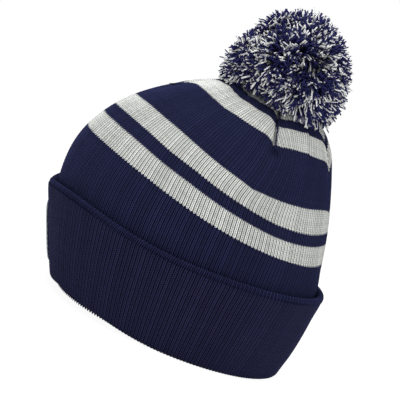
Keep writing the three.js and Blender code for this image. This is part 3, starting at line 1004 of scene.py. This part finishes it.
# %% What holds the pom
PIVOT_Z = POLE_Z - 0.9
POM_Z = float(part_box("pom_binding")[0][2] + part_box("pom_binding")[1][2]) / 2 / MM
KNOT_REACH, BUTTON_REACH = 2.9, 6.0
STEM_PLIES = 5
winding = np.linspace(-0.46 * math.pi, 0.46 * math.pi, 96)
knot = wound(winding * 12, KNOT_REACH * np.cos(winding), PIVOT_Z + KNOT_REACH * np.sin(winding))
button = [spiral(PIVOT_Z - 3.4, 0.4, BUTTON_REACH), spiral(PIVOT_Z - 4.2, BUTTON_REACH, 0.4)]
strands("pom_anchor_button", seam_thread, "pom_anchor", button + [knot], [0.48] * 3,
        ["pom_anchor"])
angles, heights = np.linspace(0, 2.2 * math.pi, 14), np.linspace(PIVOT_Z + 4.2, POM_Z + 2.4, 14)
plies = [wound(angles + 2 * math.pi * i / STEM_PLIES, 1.15, heights) for i in range(STEM_PLIES)]
strands("pom_stem_yarn", pom_navy, "pom_stem", plies, [0.7] * STEM_PLIES, ["pom_stem"])
binding = ring_coil(POM_Z, 4.6, 1.75, 22, 8)
strands("pom_binding_winding", seam_thread, "pom_stem", [binding], [0.5], ["pom_binding"])

# %% [markdown]
# ## The pom
# A pom is a bundle of cut yarn tied round the middle, so that every strand points away from the tie. The
# strands stick together in small tufts, which leaves hollows in shade between them, deepened with painted
# shade further into the ball, and the two colours lie in short runs because the yarns were wound together.
# Two meshes hold the ball, one for each colour, over a core in the dark seam thread's colour, painted shade
# for the packed inside of the ball. The strands underneath are pressed out sideways by the crown.

# %% The pom's strands
POM_RADIUS = 46.0
CORE_RADIUS = 35.0
STRAND_START = 33.0  # the strands' hidden ends lie just inside the core
STRAND_RADIUS = 0.56
BALL_STRANDS = 11500
TUFTS = 360
POM_TILT = math.radians(10)  # how far the pom can rock
pom_centre = np.array([0.0, POLE_Y, POM_Z])
draw = np.random.default_rng(21)


def spread_directions(count, jitter):
    """Directions spread evenly over a ball, a little shaken."""
    i = np.arange(count) + 0.5
    polar = np.arccos(1 - 2 * i / count)
    around = math.pi * (1 + 5**0.5) * i
    made = np.column_stack([np.sin(polar) * np.cos(around), np.sin(polar) * np.sin(around), np.cos(polar)])
    made += draw.normal(0, jitter, made.shape)
    return made / np.linalg.norm(made, axis=1, keepdims=True)


LEVELS = np.linspace(120.0, POLE_Z, 260)
LEVEL_REACH = np.sqrt(np.maximum(1 - ((LEVELS - WIDEST_Z) / CROWN_RISE) ** 2, 0)) * HALF_LENGTH
PART_TURNS = (-0.78, -0.4, 0.0, 0.4, 0.78)  # the twist, up to its limits


def crown_height(x, y):
    """Height of the shell under a point: the highest level that still reaches it."""
    inside = np.flatnonzero(np.hypot(x / WIDTH_SHARE, y - section_middle(LEVELS)) <= LEVEL_REACH)
    return LEVELS[inside[-1]] if len(inside) else 0.0


def clear_height(x, y):
    """The height above which a strand stays clear of the crown in all but the furthest poses."""
    reach, angle = math.hypot(x, y - POLE_Y), math.atan2(y - POLE_Y, x)
    highest = max(crown_height(reach * math.cos(angle + a), POLE_Y + reach * math.sin(angle + a))
                  for a in PART_TURNS)
    return highest + 1.5 + 0.8 * math.tan(POM_TILT) * reach


tufts = spread_directions(TUFTS, 0.06)
tuft_reach = draw.normal(1.0, 0.025, TUFTS)
tuft_grey = np.clip(draw.normal(0.32, 0.13, TUFTS), 0.05, 0.8)
tuft_pull = draw.uniform(0.0, 0.2, TUFTS)
tuft_lean = draw.normal(0, 0.06, (TUFTS, 3))
directions = spread_directions(BALL_STRANDS, 0.012)
nearest = np.argmax(directions @ tufts.T, axis=1)
print("strands in a tuft:", round(BALL_STRANDS / TUFTS, 1))

# %% [markdown]
# A hand-trimmed pom is never a true ball. This one is flat on its upper front, stands out low at the front
# where the crown props its strands up, and is a little taller on top. Each tuft leans its own way and each
# strand curls a little, so that some strands show their side and others only their cut end.

# %% Laying the strands
# Broad lobes and small pits: which way each lies from the middle, how much it adds, and how tight it is.
BROAD, TIGHT = 7, 60
LOBES = [
    ((0, -0.85, 0.53), -0.13, BROAD),
    ((0, -0.86, -0.51), 0.09, BROAD),
    ((0, 0.19, 0.98), 0.03, BROAD),
    ((0.3, 0.9, -0.1), -0.05, BROAD),
    ((0.1, 0.7, -0.72), 0.1, BROAD),
    ((0.55, -0.45, -0.7), -0.24, BROAD),
    ((0.914, 0.257, 0.309), -0.22, TIGHT),
    ((0.797, 0.449, 0.405), -0.16, TIGHT),
    ((0.6, -0.55, 0.58), -0.1, TIGHT),
]
CURL = 0.07


def lobed(direction, tightest=TIGHT):
    """The ball's uneven outline, as a share of its radius."""
    total = 1.0
    for centre, size, tightness in LOBES:
        if tightness <= tightest:
            nearness = direction @ (np.array(centre) / np.linalg.norm(centre)) - 1
            total = total + size * np.exp(nearness * tightness)
    return total


def mark_outward(piece):
    """Writes how far out each point of a piece is in the ball, which its material uses for painted shade
    deeper in the ball.
    """
    away = points_of(piece.data) / MM - pom_centre
    length = np.linalg.norm(away, axis=1)
    share = length / (POM_RADIUS * lobed(away / length[:, None], BROAD))
    outward = piece.data.attributes.new("outward", "FLOAT", "POINT")
    outward.data.foreach_set("value", share.astype(np.float32))


def strand_path(direction, tuft, reach, droop):
    """A strand from inside the ball to its cut end, bent towards its tuft and down a little."""
    tip = direction * (1 - tuft_pull[tuft]) + tufts[tuft] * tuft_pull[tuft] + tuft_lean[tuft]
    tip = tip + draw.normal(0, CURL, 3)
    tip = tip / np.linalg.norm(tip)
    base = direction / np.linalg.norm(direction)
    points = []
    for t in (0.0, 0.6, 1.0):
        along = base * (1 - t * t) + tip * t * t
        along = along / np.linalg.norm(along)
        length = STRAND_START + (reach - STRAND_START) * t
        points.append(pom_centre + along * length - np.array([0, 0, droop * t * t]))
    return np.array(points)


# %% The strands, one by one
STRAY_SHARE = 0.03  # of the strands stand out past the rest
ball = {"navy": [], "grey": []}
skirt = {("ends", "navy"): [], ("ends", "grey"): [], ("sides", "navy"): [], ("sides", "grey"): []}
for direction, tuft in zip(directions, nearest):
    colour = "grey" if draw.random() < tuft_grey[tuft] else "navy"
    reach = POM_RADIUS * lobed(direction) * tuft_reach[tuft] * draw.normal(0.975, 0.03)
    if draw.random() < STRAY_SHARE:
        reach *= draw.uniform(1.03, 1.09)
    flat = math.hypot(direction[0], direction[1])
    droop = 2.5 * flat + draw.uniform(-0.5, 0.8)
    path = strand_path(direction, tuft, reach, droop)
    if path[0][2] < POLE_Z - 4 or flat < 0.45 and direction[2] < 0:
        continue  # under the ball, where the stem and the crown are
    if path[-1][2] > clear_height(path[-1][0], path[-1][1]):
        ball[colour].append(path)
        continue
    end = "ends" if abs(direction[1]) > abs(direction[0]) else "sides"
    for point in path:
        point[2] = max(point[2], crown_height(point[0], point[1]) + 1.4 + draw.uniform(0, 1.2))
    skirt[(end, colour)].append(path)
print("strands in the ball", sum(map(len, ball.values())), "on the crown", sum(map(len, skirt.values())))

# %% The core and the strands' pieces
def tapered(paths):
    return [np.array([1.0, 1.0, 0.86]) * STRAND_RADIUS * draw.uniform(0.86, 1.14) for _ in paths]


core_shape = bmesh.new()
core_shape.loops.layers.uv.new("UVMap")
bmesh.ops.create_icosphere(core_shape, subdivisions=5, radius=1.0, calc_uvs=True)
for vertex in core_shape.verts:
    bump = 1 + 0.08 * noise.noise(vertex.co * 5.0)
    place = vertex.co * bump * CORE_RADIUS
    vertex.co = Vector((place.x, place.y + POLE_Y, max(place.z + POM_Z, POLE_Z + 4))) * MM
# The core takes the dark seam thread's colour: painted shade for the packed strands inside the ball.
core = new_object("pom_core", mesh_from("pom_core", core_shape), seam_thread)
settle(core, "pom", ["pom_yarn"])
COLOURS = {"navy": pom_navy, "grey": pom_grey}
for colour, paths in ball.items():
    name = f"pom_strands_{colour}"
    mark_outward(strands(name, COLOURS[colour], "pom", paths, tapered(paths)))
for (end, colour), paths in skirt.items():
    name = f"pom_skirt_{end}_{colour}"
    piece = strands(name, COLOURS[colour], "pom_stem", paths, tapered(paths))
    mark_outward(piece)
    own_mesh(piece)

# %% [markdown]
# ## The badge
# A round embroidered patch is sewn to the front of the cuff. It is left plain but for a ring in a second
# colour: rows of satin stitch inside a raised, overcast border. Both are shaped flat and then laid on the
# cuff's curve.

# %% The badge
BADGE_Z = 34.1
BADGE_RADIUS = 21.0
BADGE_RIM = 3.0


def lay_on_cuff(points, turn, z, out):
    """Lays a flat shape on the hat: x runs round the head, y up, z outwards."""
    centre = hat_point(np.array([turn]), np.array([z]), out)[0]
    radius = np.linalg.norm(centre - np.array([0, float(section_middle(z)), z]))
    at = (turn + points[:, 0] / radius, z + points[:, 1])
    normal = finite_normal(lambda t, h: hat_point(t, h, out), *at)
    return hat_point(*at, out) + normal * points[:, 2:3]


def spun_patch(name, profile, steps):
    """A profile of [radius, height] points spun about the patch's middle."""
    shape = bmesh.new()
    line = [shape.verts.new((r, 0, h)) for r, h in profile]
    edges = [shape.edges.new(pair) for pair in zip(line, line[1:])]
    bmesh.ops.spin(shape, geom=line + edges, cent=(0, 0, 0), axis=(0, 0, 1), angle=2 * math.pi, steps=steps,
                   use_merge=True)
    bmesh.ops.remove_doubles(shape, verts=shape.verts, dist=1e-4)
    bmesh.ops.recalc_face_normals(shape, faces=shape.faces)
    mesh = mesh_from(name, shape)
    return mesh, points_of(mesh).astype(float)


# %% Embroidery thread
def satin_material(name, colour, painted_shade, pitch, direction):
    """Rows of shiny embroidery thread that lie side by side, `pitch` metres apart, with painted shade between
    the rows.
    """
    material, tree, shader = fabric(name, 0.5, (230, 230, 240), 0.55)
    where = node(tree, "TexCoord").outputs["Object"]
    across = [d / pitch for d in direction]
    rows = node(tree, "VectorMath", {0: where, 1: across}, operation="DOT_PRODUCT")
    fibres = group_node(tree, fibre_group, {"Grain": 2600.0})
    shaken = calc(tree, "MULTIPLY_ADD", fibres["Fluff"], 0.5, rows.outputs["Value"])
    thread = calc(tree, "ABSOLUTE", calc(tree, "SINE", times(tree, shaken, math.pi)))
    # Painted shade between the rows of thread.
    shown = tinted(tree, colour, painted_shade, ramp(tree, thread, 0.45, 0.0), [fibres["Tone"]])
    finish_cloth(tree, shader, shown, thread, 0.9, 0.0003)
    return material


# Each thread's second colour is the painted shade between its rows.
field_thread = satin_material("badge_field_thread", (74, 84, 170), (34, 38, 96), 0.0006, (0.82, 0, 0.57))
ring_thread = satin_material("badge_ring_thread", (212, 146, 70), (120, 76, 30), 0.0006, (0.3, 0, 0.95))
border_thread = satin_material("badge_border_thread", (206, 214, 222), (110, 118, 130), 0.0005, (0, 0, 1))
print("badge threads", [m.name for m in (field_thread, ring_thread, border_thread)])

# %% Its field and border
CUFF_FACE = CUFF_OUT + 0.25
FIELD_RADIUS = BADGE_RADIUS - BADGE_RIM + 0.5
RING_FROM, RING_TO = 11.0, 13.2
WHIPS = 132  # overcast stitches round the border
profile = [(r, 0.6) for r in np.linspace(0, FIELD_RADIUS - 0.6, 14)]
mesh, points = spun_patch("badge_field", profile + [(FIELD_RADIUS, 0.4), (FIELD_RADIUS, 0.0)], 72)
reach = np.hypot(points[:, 0], points[:, 1])
points[:, 2] += np.where(points[:, 2] > 0.5, 0.12 * np.sin(reach * 1.9) ** 2, 0)
move_points(mesh, lay_on_cuff(points, 0.0, BADGE_Z, CUFF_FACE))
field = new_object("badge_field_patch", mesh, field_thread, ring_thread)
for face in mesh.polygons:
    face.material_index = int(RING_FROM < reach[list(face.vertices)].mean() < RING_TO)
settle(field, "hat", ["badge_field"])

half = BADGE_RIM / 2
profile = [(BADGE_RADIUS - half - half * math.cos(a), 0.1 + 0.8 * math.sin(a))
           for a in np.linspace(0, math.pi, 9)]
mesh, points = spun_patch("badge_border", profile + profile[:1], 2 * WHIPS)
around = np.arctan2(points[:, 1], points[:, 0])
reach = np.hypot(points[:, 0], points[:, 1])
whip = np.abs(np.sin(WHIPS / 2 * around + 1.6 * (reach - BADGE_RADIUS)))
points[:, 2] += np.where(points[:, 2] > 0.3, 0.25 * (whip - 0.5), 0)
move_points(mesh, lay_on_cuff(points, 0.0, BADGE_Z, CUFF_FACE))
border = new_object("badge_border_stitches", mesh, border_thread)
settle(border, "hat", ["badge_border"])

# %% [markdown]
# ## The care label
# A short woven tape, folded and sewn in at the back of the lining. It carries no print. It is a grid with a
# small curl at its free end, and Solidify gives it its thickness.

# %% The care label
LABEL_WIDTH, LABEL_HEIGHT, LABEL_Z = 24.0, 32.0, 48.0
LABEL_COLUMNS, LABEL_ROWS = 16, 22
LABEL_THICKNESS = 0.0004
mesh, column, row = flat_grid(LABEL_COLUMNS, LABEL_ROWS)
x = (column / LABEL_COLUMNS - 0.5) * LABEL_WIDTH
y = (row / LABEL_ROWS - 0.5) * LABEL_HEIGHT
curl = 0.25 + 1.6 * (1 - row / LABEL_ROWS) ** 3 + 0.25 * np.sin(column * 0.5)
turn = math.pi + x / 80
z = LABEL_Z + y
direction = finite_normal(lambda t, h: hat_point(t, h, LINING_IN), turn, z)
points = hat_point(turn, z, LINING_IN - 0.7) - direction * curl[:, None]
place_grid(mesh, points, np.column_stack([x, y]))
turn_over(mesh)
label_tape, tree, shader = fabric("label_tape", 0.3, (240, 240, 240), 0.6)
weave = node(tree, "TexChecker", {"Vector": node(tree, "UVMap", uv_map="UVMap").outputs["UV"], "Scale": 2.5,
                                  "Color1": linear((228, 228, 222)), "Color2": linear((205, 205, 200))})
finish_cloth(tree, shader, weave.outputs["Color"], weave.outputs["Fac"], 0.5, 0.0002)
label = new_object("care_label_tape", mesh, label_tape)
label.modifiers.new("thickness", "SOLIDIFY").thickness = LABEL_THICKNESS
as_cloth(label, "care_label")

# %% [markdown]
# ## Sizes
# The new pieces stay within the CAD model's box, give or take what yarn ends stand proud. The box of the
# shown pieces is measured.

# %% Sizes and finish
low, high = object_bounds()
